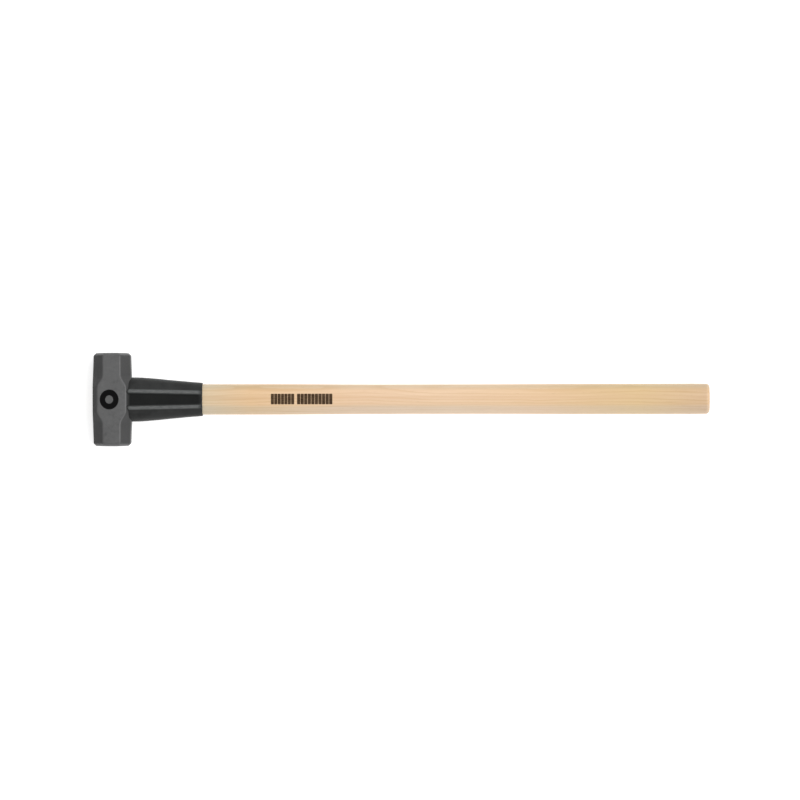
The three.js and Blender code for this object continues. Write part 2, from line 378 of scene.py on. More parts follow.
# =====================================================================================
# handle
# =====================================================================================
HANDLE_B = [(HEAD_A + 1, EYE_B - CLEAR), (48, 21.6), (75, 22.5), (135, 22.8), (230, 22.8), (400, 22.1),
            (520, 22.15), (700, 22.6), (X_END, 22.7)]
HANDLE_C = [(HEAD_A + 1, EYE_C - CLEAR), (48, 15.6), (75, 16.6), (135, 17.0), (230, 17.0), (400, 16.4),
            (520, 16.4), (700, 16.9), (X_END, 17.2)]
HANDLE_N = [(HEAD_A, 2.15), (90, 2.35), (X_END, 2.35)]
GRIP_ROUND = 5.0


def handle_bc(x):
    if x < HEAD_A:
        return EYE_B * eye_scale(x) - CLEAR, EYE_C * eye_scale(x) - CLEAR
    return along(HANDLE_B, x), along(HANDLE_C, x)


def handle_ring(x, n=128, scale=1.0, grow=0.0):
    b, c = handle_bc(x)
    d = X_END - x
    r = GRIP_ROUND - math.sqrt(max(0.0, GRIP_ROUND ** 2 - (GRIP_ROUND - d) ** 2)) if d < GRIP_ROUND else 0.0
    lead = x - TONGUE_X0  # the tongue's end is lightly chamfered
    if lead < 0.6:
        r += 0.6 - lead
    a = np.linspace(0, 2 * math.pi, n, endpoint=False)
    y, z = oval((b - r + grow) * scale, (c - r + grow) * scale, along(HANDLE_N, x, False), a)
    return np.column_stack([np.full(n, x), y, z + AXIS_Z])


xs = list(np.linspace(TONGUE_X0, HEAD_A, 22)) + list(np.linspace(HEAD_A, 80, 26))[1:] + list(np.linspace(80, X_END - GRIP_ROUND, 262))[1:]
rings = [handle_ring(TONGUE_X0, scale=s) for s in (0.15, 0.4, 0.65, 0.85)]
rings += [handle_ring(x) for x in xs[:1]] + [handle_ring(TONGUE_X0 + 0.6)] + [handle_ring(x) for x in xs[1:]]
for k in range(1, 13):
    rings.append(handle_ring(X_END - GRIP_ROUND + GRIP_ROUND * math.sin(math.pi / 2 * k / 12)))
for s in (0.93, 0.84, 0.72, 0.58, 0.43, 0.28, 0.13):
    rings.append(handle_ring(X_END, scale=s))
v, f = loft(rings)
handle = build("hickory_handle", v, f)
co, no = coords(handle), normals(handle)
# turned and sanded wood is never dead true, and the sawn end keeps a trace of the blade
wave = 0.14 * (0.5 + 0.5 * wander(co * np.array([0.25, 1, 1]), 34.0, 4)) + 0.03 * (0.5 + 0.5 * wander(co * np.array([0.3, 1, 1]), 7.0, 5))
body = (co[:, 0] > 36) & (co[:, 0] < X_END - 0.4)
co = co - no * (wave * body)[:, None]
set_coords(handle, co)

# saw cut for the wooden wedge, and the two slots that the steel wedges make
KERF_DEPTH = 44.0
WOOD = dict(length=41.0, thick=7.0, tip=1.6)
STEEL = dict(length=26.0, width=17.0, thick=3.4, tip=0.9, y=9.6)


def taper(name, x0, length, thick, tip, width, along_y, grow_back=0.0):
    """A wedge along +X from x0: thick at the start, thin at the tip."""
    t0, t1 = thick / 2, tip / 2
    slope = (t1 - t0) / length
    xa = x0 - grow_back
    ta = t0 - slope * grow_back
    xb = x0 + length
    w = width / 2
    sec = [(xa, ta), (xb, t1), (xb, -t1), (xa, -ta)]
    vv = []
    for s in (-w, w):
        for x, t in sec:
            vv.append((x, s, t + AXIS_Z) if along_y else (x, t, s + AXIS_Z))
    ff = [(0, 1, 2, 3), (7, 6, 5, 4)] + [(k, k + 4, (k + 1) % 4 + 4, (k + 1) % 4) for k in range(4)]
    return build(name, vv, ff)


cut(handle, taper("kerf", TONGUE_X0, KERF_DEPTH, WOOD["thick"] + 0.5, WOOD["tip"] + 0.4, 60, True, 3.0))
for sgn in (1, -1):
    c = taper("slot", TONGUE_X0, STEEL["length"] + 0.6, STEEL["thick"] + 0.7, STEEL["tip"] + 0.5, STEEL["width"] + 0.5, False, 3.0)
    cc = coords(c)
    cc[:, 1] += sgn * STEEL["y"]
    set_coords(c, cc)
    cut(handle, c)
shade(handle, 34)
co = coords(handle)
attribute(handle, "endgrain", np.maximum(smooth((co[:, 0] - (X_END - 2.2)) / 1.9), smooth((TONGUE_X0 + 0.5 - co[:, 0]) / 0.4)))

# =====================================================================================
# wedges in the eye
# =====================================================================================
# wooden wedge, trimmed to the tongue's own section and split by the steel ones
wood = taper("eye_wedge_wood", TONGUE_X0 + 0.05, WOOD["length"], WOOD["thick"], WOOD["tip"], 60, True)
bm = bmesh.new()
bm.from_mesh(wood.data)
bmesh.ops.subdivide_edges(bm, edges=bm.edges[:], cuts=10, use_grid_fill=True)
bm.to_mesh(wood.data)
bm.free()
trim = []
for x in np.linspace(TONGUE_X0 - 2, 20, 16):
    n = 96
    a = np.linspace(0, 2 * math.pi, n, endpoint=False)
    y, z = oval(EYE_B * eye_scale(x) - CLEAR, EYE_C * eye_scale(x) - CLEAR, 2.15, a)
    trim.append(np.column_stack([np.full(n, x), y, z + AXIS_Z]))
v, f = loft(trim)
cut(wood, build("trim", v, f), "INTERSECT")
for sgn in (1, -1):
    c = taper("slot", TONGUE_X0, STEEL["length"] + 0.6, STEEL["thick"] + 0.7, STEEL["tip"] + 0.5, STEEL["width"] + 0.5, False, 3.0)
    cc = coords(c)
    cc[:, 1] += sgn * STEEL["y"]
    set_coords(c, cc)
    cut(wood, c)
shade(wood, 30)


def steel_wedge(name, sgn):
    """Barbed steel wedge: shallow teeth across both broad faces and a hammered top."""
    L, W, T, tip = STEEL["length"], STEEL["width"], STEEL["thick"], STEEL["tip"]
    nx, nz = 66, 24
    rings = []
    for i in range(nx + 1):
        u = i / nx
        x = TONGUE_X0 + 0.05 + L * u
        t = lerp(T, tip, u) / 2
        tooth = (u * 7.0) % 1.0
        bite = 0.20 * (1 - tooth) if 0.14 < u < 0.94 else 0.0
        e = 0.0
        if u < 0.03:
            e = 0.45 * (1 - u / 0.03) ** 2
        sec = []
        hw = W / 2 - e * 0.8
        tt = max(0.25, t - bite - e)
        for k in range(nz + 1):
            w = lerp(-1, 1, k / nz)
            r = 0.35 * max(0.0, (abs(w) - 0.94) / 0.06) ** 2
            sec.append((tt - r, w * hw))
        for k in range(nz + 1):
            w = lerp(1, -1, k / nz)
            r = 0.35 * max(0.0, (abs(w) - 0.94) / 0.06) ** 2
            sec.append((-(tt - r), w * hw))
        sec = np.array(sec)
        rings.append(np.column_stack([np.full(len(sec), x), sec[:, 0] + sgn * STEEL["y"], sec[:, 1] + AXIS_Z]))
    # inner rings give the hammered end face some points of its own
    first = rings[0]
    mid = first.mean(0)
    caps = [mid + (first - mid) * np.array([1, s, s]) for s in (0.25, 0.55, 0.82)]
    v, f = loft(caps + rings)
    ob = build(name, v, f)
    c = coords(ob)
    face = c[:, 0] < TONGUE_X0 + 0.06
    c[face, 0] += 0.12 + 0.12 * wander(c[face], 2.6, 11 + sgn)
    set_coords(ob, c)
    shade(ob, 32)
    return ob


steel_a = steel_wedge("eye_wedge_steel_a", 1)
steel_b = steel_wedge("eye_wedge_steel_b", -1)

# =====================================================================================
# overstrike guard
# =====================================================================================
GX0 = HEAD_A + 0.3
GUARD_B = [(GX0, 32.9), (44, 32.7), (66, 30.9), (84, 29.1), (102, 27.4), (120, 25.8), (GUARD_X1, 25.0)]
GUARD_C = [(GX0, 26.7), (44, 25.6), (66, 23.6), (84, 22.0), (102, 20.6), (120, 19.4), (GUARD_X1, 18.9)]
RIB_HALF, RIB_UP, CHANNEL_DOWN, SHOULDER_DOWN = 3.6, 1.5, 1.3, 0.4
NG = 288


def rib_y(x):
    return lerp(12.6, 10.4, (x - GX0) / (GUARD_X1 - GX0))


def guard_section(x, a):
    b, c = along(GUARD_B, x, False), along(GUARD_C, x, False)
    y, z = oval(b, c, 2.7, a)
    s = np.abs(y)
    flat = smooth((np.abs(z) / c - 0.55) / 0.25)
    tail = float(smooth((GUARD_X1 - x) / 9.0))
    rib_in = tail * lerp(0.55, 1.0, float(smooth((x - GUARD_LIP_X) / 14.0)))
    channel_in = tail * float(smooth((x - GUARD_LIP_X + 1.5) / 4.0))
    rib = 1 - smooth((np.abs(s - rib_y(x)) - 1.5) / (RIB_HALF - 1.7))
    channel = 1 - smooth((s - (rib_y(x) - RIB_HALF - 1.4)) / 1.6)
    lift = flat * (rib_in * RIB_UP * rib - channel_in * CHANNEL_DOWN * channel)
    z = z + np.sign(z) * (lift - flat * rib_in * SHOULDER_DOWN * (1 - rib) * (1 - channel))
    # moulding seam along both narrow sides
    seam = 0.22 * np.exp(-((z / 0.55) ** 2)) * tail * float(smooth((x - GUARD_LIP_X - 1.5) / 3.0))
    return y + np.sign(y) * (seam - 0.22), z


def head_face_x(y, z):
    """Where the head's own surface stands at y, z, going along +X."""
    return np.minimum(side_at(y), ROOT2 * diag_at(y) - np.abs(z))


ang = np.linspace(0, 2 * math.pi, NG, endpoint=False)


def lip_x(y, z):
    return np.maximum(head_face_x(y, z) + 0.3, GUARD_LIP_X + 0.02)


# outer skin from the lip to the handle end
first_y, first_z = guard_section(GX0, ang)
rings = []
start_x = lip_x(first_y, first_z)
# mouth: from the bore out to the lip, following the head
bore_b, bore_c = handle_bc(HEAD_A + 1)
by, bz = oval(bore_b + 0.35, bore_c + 0.35, 2.16, ang)
for t in np.linspace(0, 1, 15)[:-1]:
    yy, zz2 = lerp(by, first_y, t), lerp(bz, first_z, t)
    rings.append(np.column_stack([lip_x(yy, zz2), yy, zz2 + AXIS_Z]))
ease = [(0.985, 0.0), (1.0, 0.35), (1.0, 0.9)]  # the lip's edge is eased over
for s, dx in ease:
    rings.append(np.column_stack([start_x + dx, first_y * s, first_z * s + AXIS_Z]))
skin = 118
for k in range(1, skin + 1):
    u = k / skin
    x_all = lerp(start_x + 0.9, GUARD_X1 - 1.6, u)
    yy = np.empty(NG)
    zz2 = np.empty(NG)
    # near the mouth the stations bend with the lip, so each point takes its own section
    if np.ptp(x_all) > 0.02:
        for j in range(NG):
            p, q = guard_section(float(x_all[j]), ang[j:j + 1])
            yy[j], zz2[j] = p[0], q[0]
    else:
        yy, zz2 = guard_section(float(x_all.mean()), ang)
    rings.append(np.column_stack([x_all, yy, zz2 + AXIS_Z]))
ey, ez = guard_section(GUARD_X1, ang)
hb, hc = handle_bc(GUARD_X1)
iy, iz = oval(hb + 0.28, hc + 0.28, 2.35, ang)
for k in range(1, 7):  # rolled end
    w = math.pi / 2 * k / 6
    s = 1 - 1.0 * (1 - math.cos(w)) / 24.6
    rings.append(np.column_stack([np.full(NG, GUARD_X1 - 1.6 + 1.6 * math.sin(w)), ey * s, ez * s + AXIS_Z]))
for t in (0.5, 0.85):
    rings.append(np.column_stack([np.full(NG, GUARD_X1 - 0.02 - 0.25 * t * t), lerp(ey * 0.96, iy, t), lerp(ez * 0.95, iz, t) + AXIS_Z]))
for x in list(np.linspace(GUARD_X1 - 0.9, 60, 20)) + list(np.linspace(57, HEAD_A + 1.6, 16)):
    b, c = handle_bc(x)
    y, z = oval(b + 0.28, c + 0.28, along(HANDLE_N, x, False), ang)
    rings.append(np.column_stack([np.full(NG, x), y, z + AXIS_Z]))
v, f = loft(rings, close=True)
guard = build("rubber_overstrike_guard", v, f)
co, no = coords(guard), normals(guard)
outer = np.hypot(co[:, 1] / 22.8, (co[:, 2] - AXIS_Z) / 17.0) > 1.04
co = co - no * (0.10 * (0.5 + 0.5 * wander(co, 19.0, 7)) * outer)[:, None]
set_coords(guard, co)
shade(guard, 42)
co = coords(guard)
s = np.abs(co[:, 1])
zz = np.abs(co[:, 2] - AXIS_Z)
ends = smooth((co[:, 0] - lip_x(co[:, 1], zz) - 1.0) / 2.5) * smooth((GUARD_X1 - co[:, 0]) / 9.0)
on_flat = smooth((zz - 11.0) / 4.0)
attribute(guard, "rib", (1 - smooth((np.abs(s - rib_y(co[:, 0])) - 1.5) / 2.0)) * ends * on_flat)
attribute(guard, "channel", (1 - smooth((s - (rib_y(co[:, 0]) - 4.6)) / 1.4)) * ends * on_flat)


# =====================================================================================
# materials
# =====================================================================================
class Nodes:
    """Short names for building a node tree."""

    def __init__(self, name):
        self.m = bpy.data.materials.new(name)
        self.m.use_nodes = True
        self.t = self.m.node_tree
        self.t.nodes.clear()
        self.out = self.t.nodes.new("ShaderNodeOutputMaterial")
        self.p = self.t.nodes.new("ShaderNodeBsdfPrincipled")
        self.t.links.new(self.p.outputs[0], self.out.inputs["Surface"])

    def new(self, kind, **props):
        n = self.t.nodes.new(kind)
        for k, val in props.items():
            setattr(n, k, val)
        return n

    def put(self, socket, value):
        if isinstance(value, bpy.types.NodeSocket):
            self.t.links.new(value, socket)
        else:
            socket.default_value = value

    def here(self):
        """The object's own coordinates, in millimetres."""
        tc = self.new("ShaderNodeTexCoord")
        v = self.new("ShaderNodeVectorMath", operation="SCALE")
        self.put(v.inputs[0], tc.outputs["Object"])
        v.inputs["Scale"].default_value = 1000.0
        return v.outputs[0]

    def scaled(self, v, s):
        n = self.new("ShaderNodeVectorMath", operation="MULTIPLY")
        self.put(n.inputs[0], v)
        n.inputs[1].default_value = s
        return n.outputs[0]

    def moved(self, v, d):
        n = self.new("ShaderNodeVectorMath", operation="ADD")
        self.put(n.inputs[0], v)
        self.put(n.inputs[1], d)
        return n.outputs[0]

    def xyz(self, v):
        n = self.new("ShaderNodeSeparateXYZ")
        self.put(n.inputs[0], v)
        return n.outputs[0], n.outputs[1], n.outputs[2]

    def join(self, x, y, z):
        n = self.new("ShaderNodeCombineXYZ")
        for s, val in zip(n.inputs, (x, y, z)):
            self.put(s, val)
        return n.outputs[0]

    def maths(self, op, a, b=0.0, c=0.0, clamp=False):
        n = self.new("ShaderNodeMath", operation=op, use_clamp=clamp)
        self.put(n.inputs[0], a)
        if len(n.inputs) > 1:
            self.put(n.inputs[1], b)
        if len(n.inputs) > 2:
            self.put(n.inputs[2], c)
        return n.outputs[0]

    def length(self, v):
        n = self.new("ShaderNodeVectorMath", operation="LENGTH")
        self.put(n.inputs[0], v)
        return n.outputs["Value"]

    def noise(self, v, scale=1.0, detail=3.0, rough=0.5, distortion=0.0):
        n = self.new("ShaderNodeTexNoise")
        self.put(n.inputs["Vector"], v)
        n.inputs["Scale"].default_value = scale
        n.inputs["Detail"].default_value = detail
        n.inputs["Roughness"].default_value = rough
        n.inputs["Distortion"].default_value = distortion
        return n.outputs["Fac"]

    def voronoi(self, v, scale=1.0, feature="F1", randomness=1.0):
        n = self.new("ShaderNodeTexVoronoi", feature=feature)
        self.put(n.inputs["Vector"], v)
        n.inputs["Scale"].default_value = scale
        n.inputs["Randomness"].default_value = randomness
        return n.outputs["Distance"]

    def span(self, v, a, b, c=0.0, d=1.0, kind="SMOOTHSTEP"):
        n = self.new("ShaderNodeMapRange", interpolation_type=kind)
        self.put(n.inputs["Value"], v)
        n.inputs["From Min"].default_value = a
        n.inputs["From Max"].default_value = b
        n.inputs["To Min"].default_value = c
        n.inputs["To Max"].default_value = d
        return n.outputs["Result"]

    def ramp(self, fac, stops, kind="EASE"):
        n = self.new("ShaderNodeValToRGB")
        n.color_ramp.interpolation = kind
        els = n.color_ramp.elements
        while len(els) > 1:
            els.remove(els[-1])
        els[0].position, els[0].color = stops[0][0], (*stops[0][1], 1)
        for pos, col in stops[1:]:
            e = els.new(pos)
            e.color = (*col, 1)
        self.put(n.inputs[0], fac)
        return n.outputs[0]

    def mix(self, fac, a, b, blend="MIX"):
        n = self.new("ShaderNodeMix", data_type="RGBA", blend_type=blend)
        self.put(n.inputs[0], fac)
        for s, val in ((n.inputs[6], a), (n.inputs[7], b)):
            self.put(s, val if isinstance(val, bpy.types.NodeSocket) else (*val, 1))
        return n.outputs[2]

    def attr(self, name):
        n = self.new("ShaderNodeAttribute", attribute_name=name)
        return n.outputs["Fac"]

    def bump(self, height, strength=1.0, distance=0.001, normal=None):
        n = self.new("ShaderNodeBump")
        n.inputs["Strength"].default_value = strength
        n.inputs["Distance"].default_value = distance
        self.put(n.inputs["Height"], height)
        if normal is not None:
            self.put(n.inputs["Normal"], normal)
        return n.outputs[0]

    def surface(self, **values):
        for k, val in values.items():
            self.put(self.p.inputs[k.replace("_", " ")], val if not isinstance(val, tuple) else (*val, 1))


def head_paint():
    g = Nodes("head_coating")
    v = g.here()
    broad = g.noise(v, 0.045, 3.0, 0.55)
    patch = g.noise(g.moved(v, (31.0, 7.0, 3.0)), 0.16, 4.0, 0.6)
    grit = g.noise(v, 2.3, 3.0, 0.65)
    speck = g.noise(g.moved(v, (5.0, 50.0, 9.0)), 0.9, 5.0, 0.7)
    tone = g.maths("ADD", g.maths("MULTIPLY", broad, 0.45), g.maths("MULTIPLY", patch, 0.55))
    base = g.ramp(tone, [(0.30, (0.078, 0.078, 0.0785)), (0.5, (0.100, 0.1002, 0.1005)), (0.70, (0.127, 0.127, 0.1275))])
    base = g.mix(g.span(grit, 0.42, 0.66, 0.0, 0.30), base, (0.046, 0.046, 0.047))
    base = g.mix(g.span(speck, 0.60, 0.72, 0.0, 0.40), base, (0.140, 0.140, 0.141))
    # corner flats keep a thicker, darker coat than the dressed cheeks; the darkening is partly that coat and partly
    # painted shade on flats turned from the light, and the flats on the -X side get more of the painted shade
    slant = g.attr("slant")
    base = g.mix(g.maths("MULTIPLY", slant, g.span(g.xyz(v)[0], -6.0, 10.0, 0.82, 0.76)), base, g.mix(grit, (0.023, 0.023, 0.0235), (0.035, 0.035, 0.0355)))
    # the striking faces are dressed on a lathe before they are coated
    x, y, z = g.xyz(v)
    face = g.attr("face")
    from_mid = g.length(g.join(x, 0.0, g.maths("SUBTRACT", z, AXIS_Z)))
    turned = g.maths("SINE", g.maths("MULTIPLY", g.maths("ADD", from_mid, g.maths("MULTIPLY", patch, 0.6)), 5.2))
    knocks = g.span(g.voronoi(g.moved(v, (7.0, 1.0, 4.0)), 0.34, "F1"), 0.10, 0.34, 1.0, 0.0)
    base = g.mix(g.maths("MULTIPLY", face, 0.55), base, g.mix(g.span(turned, -1.0, 1.0), (0.098, 0.098, 0.099), (0.122, 0.122, 0.123)))
    base = g.mix(g.maths("MULTIPLY", g.maths("MULTIPLY", face, knocks), 0.22), base, (0.19, 0.19, 0.195))
    # thin bare line where edges rub
    edge = g.maths("MULTIPLY", g.attr("edge"), g.span(g.noise(v, 0.55, 5.0, 0.72), 0.42, 0.68), clamp=True)
    edge = g.span(edge, 0.45, 0.95, 0.0, 0.55)
    base = g.mix(edge, base, (0.22, 0.22, 0.225))
    stamp = g.attr("stamp")
    base = g.mix(g.maths("MULTIPLY", g.attr("disc"), 0.15), base, (0.030, 0.030, 0.0305))
    base = g.mix(g.maths("MULTIPLY", stamp, 0.985), base, (0.0022, 0.0022, 0.0024))
    rough = g.span(patch, 0.3, 0.7, 0.40, 0.56, "LINEAR")
    rough = g.maths("ADD", rough, g.span(grit, 0.3, 0.7, -0.03, 0.05, "LINEAR"))
    rough = g.maths("ADD", rough, g.maths("MULTIPLY", slant, 0.08))
    rough = g.maths("ADD", rough, g.maths("MULTIPLY", stamp, 0.22), clamp=True)
    metal = g.span(edge, 0.0, 0.55, 0.15, 0.85, "LINEAR")
    peel = g.noise(v, 1.15, 4.0, 0.55)
    dents = g.voronoi(g.moved(v, (3.0, 11.0, 2.0)), 0.13, "SMOOTH_F1", 1.0)
    n = g.bump(peel, 0.35, 0.00022)
    n = g.bump(g.span(dents, 0.0, 0.42, 0.0, 1.0), 0.25, 0.0003, n)
    n = g.bump(grit, 0.18, 0.00012, n)
    n = g.bump(g.maths("MULTIPLY", face, turned), 0.22, 0.00006, n)
    g.surface(Base_Color=base, Roughness=rough, Metallic=metal, Normal=n)
    g.put(g.p.inputs["Specular IOR Level"], g.span(stamp, 0.0, 1.0, 0.30, 0.06, "LINEAR"))
    return g.m


def hickory():
    g = Nodes("hickory_lacquered")
    v = g.here()
    x, y, z = g.xyz(v)
    # growth rings about a pith that lies well outside the handle and wanders along it
    drift = g.scaled(v, (0.0035, 0.016, 0.016))
    wob = g.maths("MULTIPLY", g.maths("SUBTRACT", g.noise(drift, 1.0, 3.0, 0.5), 0.5), 13.0)
    ry = g.maths("ADD", y, 74.0)
    rz = g.maths("ADD", z, 58.0)
    rho = g.maths("ADD", g.length(g.join(0.0, ry, rz)), wob)
    fine_wob = g.maths("MULTIPLY", g.noise(g.scaled(v, (0.02, 0.35, 0.35)), 1.0, 3.0, 0.6), 0.9)
    rho = g.maths("ADD", rho, fine_wob)
    # each ring gets its own late-wood tone
    ring = g.maths("FRACT", g.maths("DIVIDE", rho, 2.9))
    ring_id = g.maths("FLOOR", g.maths("DIVIDE", rho, 2.9))
    seedy = g.new("ShaderNodeTexWhiteNoise", noise_dimensions="1D")
    g.put(seedy.inputs["W"], ring_id)
    ring_tone = seedy.outputs["Value"]
    late = g.maths("MULTIPLY", g.span(ring, 0.50, 0.93), g.span(ring, 0.96, 1.0, 1.0, 0.0))
    early = g.maths("SUBTRACT", 1.0, g.span(ring, 0.04, 0.34))
    # fibres: long streaks, three sizes
    f1 = g.noise(g.scaled(v, (0.010, 0.55, 0.55)), 1.0, 4.0, 0.6)
    f2 = g.noise(g.scaled(v, (0.030, 2.4, 2.4)), 1.0, 4.0, 0.65)
    f3 = g.noise(g.scaled(v, (0.0022, 0.11, 0.11)), 1.0, 2.0, 0.5)
    # vessels: short dark dashes, thickest in the early wood
    pv = g.noise(g.scaled(v, (0.13, 4.6, 4.6)), 1.0, 2.0, 0.5)
    pore_fine = g.span(pv, 0.60, 0.70)
    pore = g.maths("MULTIPLY", pore_fine, g.maths("ADD", g.maths("MULTIPLY", early, 0.85), 0.12), clamp=True)
    # broad colour along the handle; the darker, greyer stretch just past the guard is painted shade from the guard
    shift = g.noise(g.scaled(v, (0.0046, 0.01, 0.01)), 1.0, 2.0, 0.5)
    warm = g.ramp(g.span(x, 130.0, X_END, 0.0, 1.0, "LINEAR"), [
        (0.00, (0.630, 0.500, 0.335)),
        (0.025, (0.650, 0.500, 0.325)),
        (0.10, (0.705, 0.490, 0.285)),
        (0.30, (0.755, 0.540, 0.360)),
        (0.50, (0.770, 0.560, 0.375)),
        (0.66, (0.750, 0.535, 0.335)),
        (0.86, (0.690, 0.500, 0.275)),
        (1.00, (0.630, 0.440, 0.270)),
    ], "LINEAR")
    base = g.mix(g.span(shift, 0.35, 0.68, 0.0, 0.45), warm, g.mix(1.0, warm, (0.93, 0.90, 0.84), "MULTIPLY"))
    base = g.mix(g.span(f3, 0.40, 0.66, 0.0, 0.55), base, g.mix(1.0, warm, (1.05, 1.06, 1.10), "MULTIPLY"))
    base = g.mix(g.maths("MULTIPLY", late, g.span(ring_tone, 0.0, 1.0, 0.18, 0.60, "LINEAR")), base,
                 g.mix(1.0, warm, (0.80, 0.70, 0.55), "MULTIPLY"))
    base = g.mix(g.span(f1, 0.44, 0.70, 0.0, 0.42), base, g.mix(1.0, warm, (0.87, 0.80, 0.70), "MULTIPLY"))
    base = g.mix(g.span(f2, 0.46, 0.72, 0.0, 0.27), base, g.mix(1.0, warm, (0.84, 0.77, 0.66), "MULTIPLY"))
    base = g.mix(g.maths("MULTIPLY", pore, 0.55), base, g.mix(1.0, warm, (0.50, 0.38, 0.26), "MULTIPLY"))
    # a few faint brown mineral streaks
    streak = g.noise(g.scaled(g.moved(v, (900.0, 3.0, 8.0)), (0.0058, 0.42, 0.42)), 1.0, 2.0, 0.5)
    base = g.mix(g.span(streak, 0.66, 0.76, 0.0, 0.42), base, g.mix(1.0, warm, (0.72, 0.58, 0.42), "MULTIPLY"))
    # one slow darker stripe just above the middle of the broad side
    lane = g.maths("ADD", g.maths("SUBTRACT", y, 2.6), g.maths("MULTIPLY", g.maths("SUBTRACT", g.noise(g.scaled(v, (0.008, 0.0, 0.0)), 1.0, 2.0, 0.5), 0.5), 5.0))
    stripe = g.span(g.maths("ABSOLUTE", lane), 0.6, 4.6, 0.55, 0.0)
    stripe = g.maths("MULTIPLY", stripe, g.span(g.noise(g.scaled(g.moved(v, (40.0, 0.0, 70.0)), (0.006, 0.02, 0.02)), 1.0, 2.0, 0.5), 0.30, 0.55, 0.55, 1.0))
    base = g.mix(stripe, base, g.mix(1.0, warm, (0.90, 0.83, 0.78), "MULTIPLY"))
    # darker, greyer bands along both edges of the upper broad side, fading out down the narrow sides: painted shade
    # where the surface turns away from the light, with a cooler grey tint on the -Y edge as a painted reflection of
    # the pale surroundings
    upper = g.span(g.maths("SUBTRACT", z, AXIS_Z), 0.0, 12.0)
    sway = g.maths("ADD", y, g.maths("MULTIPLY", g.maths("SUBTRACT", g.noise(g.scaled(v, (0.006, 0.0, 0.0)), 1.0, 2.0, 0.5), 0.5), 3.0))
    base = g.mix(g.maths("MULTIPLY", upper, g.span(sway, 12.5, 18.5)), base, g.mix(1.0, base, (0.88, 0.935, 0.975), "MULTIPLY"))
    base = g.mix(g.maths("MULTIPLY", upper, g.span(sway, 16.0, 20.5)), base, g.mix(1.0, base, (0.905, 0.925, 0.94), "MULTIPLY"))
    painted_edge_shade_tint = g.mix(g.span(x, 500.0, 640.0), (0.90, 0.985, 1.11), (0.945, 1.02, 1.19))
    base = g.mix(g.maths("MULTIPLY", upper, g.span(sway, -6.5, -12.5)), base, g.mix(1.0, base, painted_edge_shade_tint, "MULTIPLY"))
    endg = g.attr("endgrain")
    end_tone = g.mix(g.maths("ADD", g.maths("MULTIPLY", late, 0.5), g.maths("MULTIPLY", pore_fine, 0.5)),
                     (0.47, 0.325, 0.185), (0.245, 0.152, 0.075))
    base = g.mix(g.maths("MULTIPLY", endg, 0.85), base, end_tone)

    # plain decorative band on the upper side, a row of equal upright bars in two groups
    GAP, BAR_H, RADIUS = 0.38, 15.8, 1.0

    def bars(first, count, pitch):
        u = g.maths("SUBTRACT", x, first)
        cell = g.maths("FRACT", g.maths("DIVIDE", u, pitch))
        du = g.maths("ABSOLUTE", g.maths("MULTIPLY", g.maths("SUBTRACT", cell, 0.5), pitch))
        dv = g.maths("ABSOLUTE", g.maths("SUBTRACT", y, 0.4))
        qu = g.maths("MAXIMUM", g.maths("SUBTRACT", du, (pitch - GAP) / 2 - RADIUS), 0.0)
        qv = g.maths("MAXIMUM", g.maths("SUBTRACT", dv, BAR_H / 2 - RADIUS), 0.0)
        d = g.maths("SUBTRACT", g.length(g.join(qu, qv, 0.0)), RADIUS)
        ragged = g.maths("MULTIPLY", g.maths("SUBTRACT", g.noise(g.scaled(v, (0.35, 1.4, 1.4)), 1.0, 3.0, 0.6), 0.5), 0.30)
        m = g.span(g.maths("ADD", d, ragged), -0.16, 0.10, 1.0, 0.0)
        inside_run = g.maths("MULTIPLY", g.maths("GREATER_THAN", u, 0.0), g.maths("LESS_THAN", u, pitch * count))
        return g.maths("MULTIPLY", m, inside_run)

    mark = g.maths("MAXIMUM", bars(235.2, 7, 5.0), bars(273.9, 10, 5.28))
    mark = g.maths("MULTIPLY", mark, g.maths("GREATER_THAN", z, AXIS_Z))
    ink = g.span(g.noise(g.scaled(v, (0.12, 1.2, 1.2)), 1.0, 4.0, 0.6), 0.3, 0.7, 0.90, 1.0)
    mark = g.maths("MULTIPLY", mark, ink)
    base = g.mix(mark, base, g.mix(g.maths("MULTIPLY", f2, 0.8), (0.022, 0.0115, 0.0055), (0.044, 0.0230, 0.0105)))

    rough = g.span(f1, 0.3, 0.7, 0.36, 0.50, "LINEAR")
    rough = g.maths("ADD", rough, g.maths("MULTIPLY", pore, 0.15))
    rough = g.maths("ADD", rough, g.maths("MULTIPLY", endg, 0.22))
    rough = g.maths("ADD", rough, g.maths("MULTIPLY", mark, 0.35), clamp=True)
    n = g.bump(f2, 0.10, 0.00012)
    n = g.bump(g.maths("SUBTRACT", 1.0, pore), 0.22, 0.00010, n)
    n = g.bump(late, 0.08, 0.00010, n)
    n = g.bump(g.maths("SUBTRACT", 1.0, mark), 0.30, 0.00018, n)
    # the saw's arcs on the cut end
    saw = g.maths("SINE", g.maths("MULTIPLY", g.length(g.join(0.0, g.maths("ADD", y, 120.0), g.maths("MULTIPLY", z, 1.0))), 3.6))
    n = g.bump(g.maths("MULTIPLY", saw, endg), 0.20, 0.00010, n)
    g.surface(Base_Color=base, Roughness=rough, Normal=n)
    g.put(g.p.inputs["Coat Weight"], g.span(mark, 0.0, 1.0, 0.10, 0.0, "LINEAR"))
    g.p.inputs["Coat Roughness"].default_value = 0.25
    g.put(g.p.inputs["Specular IOR Level"], g.span(mark, 0.0, 1.0, 0.40, 0.06, "LINEAR"))
    return g.m


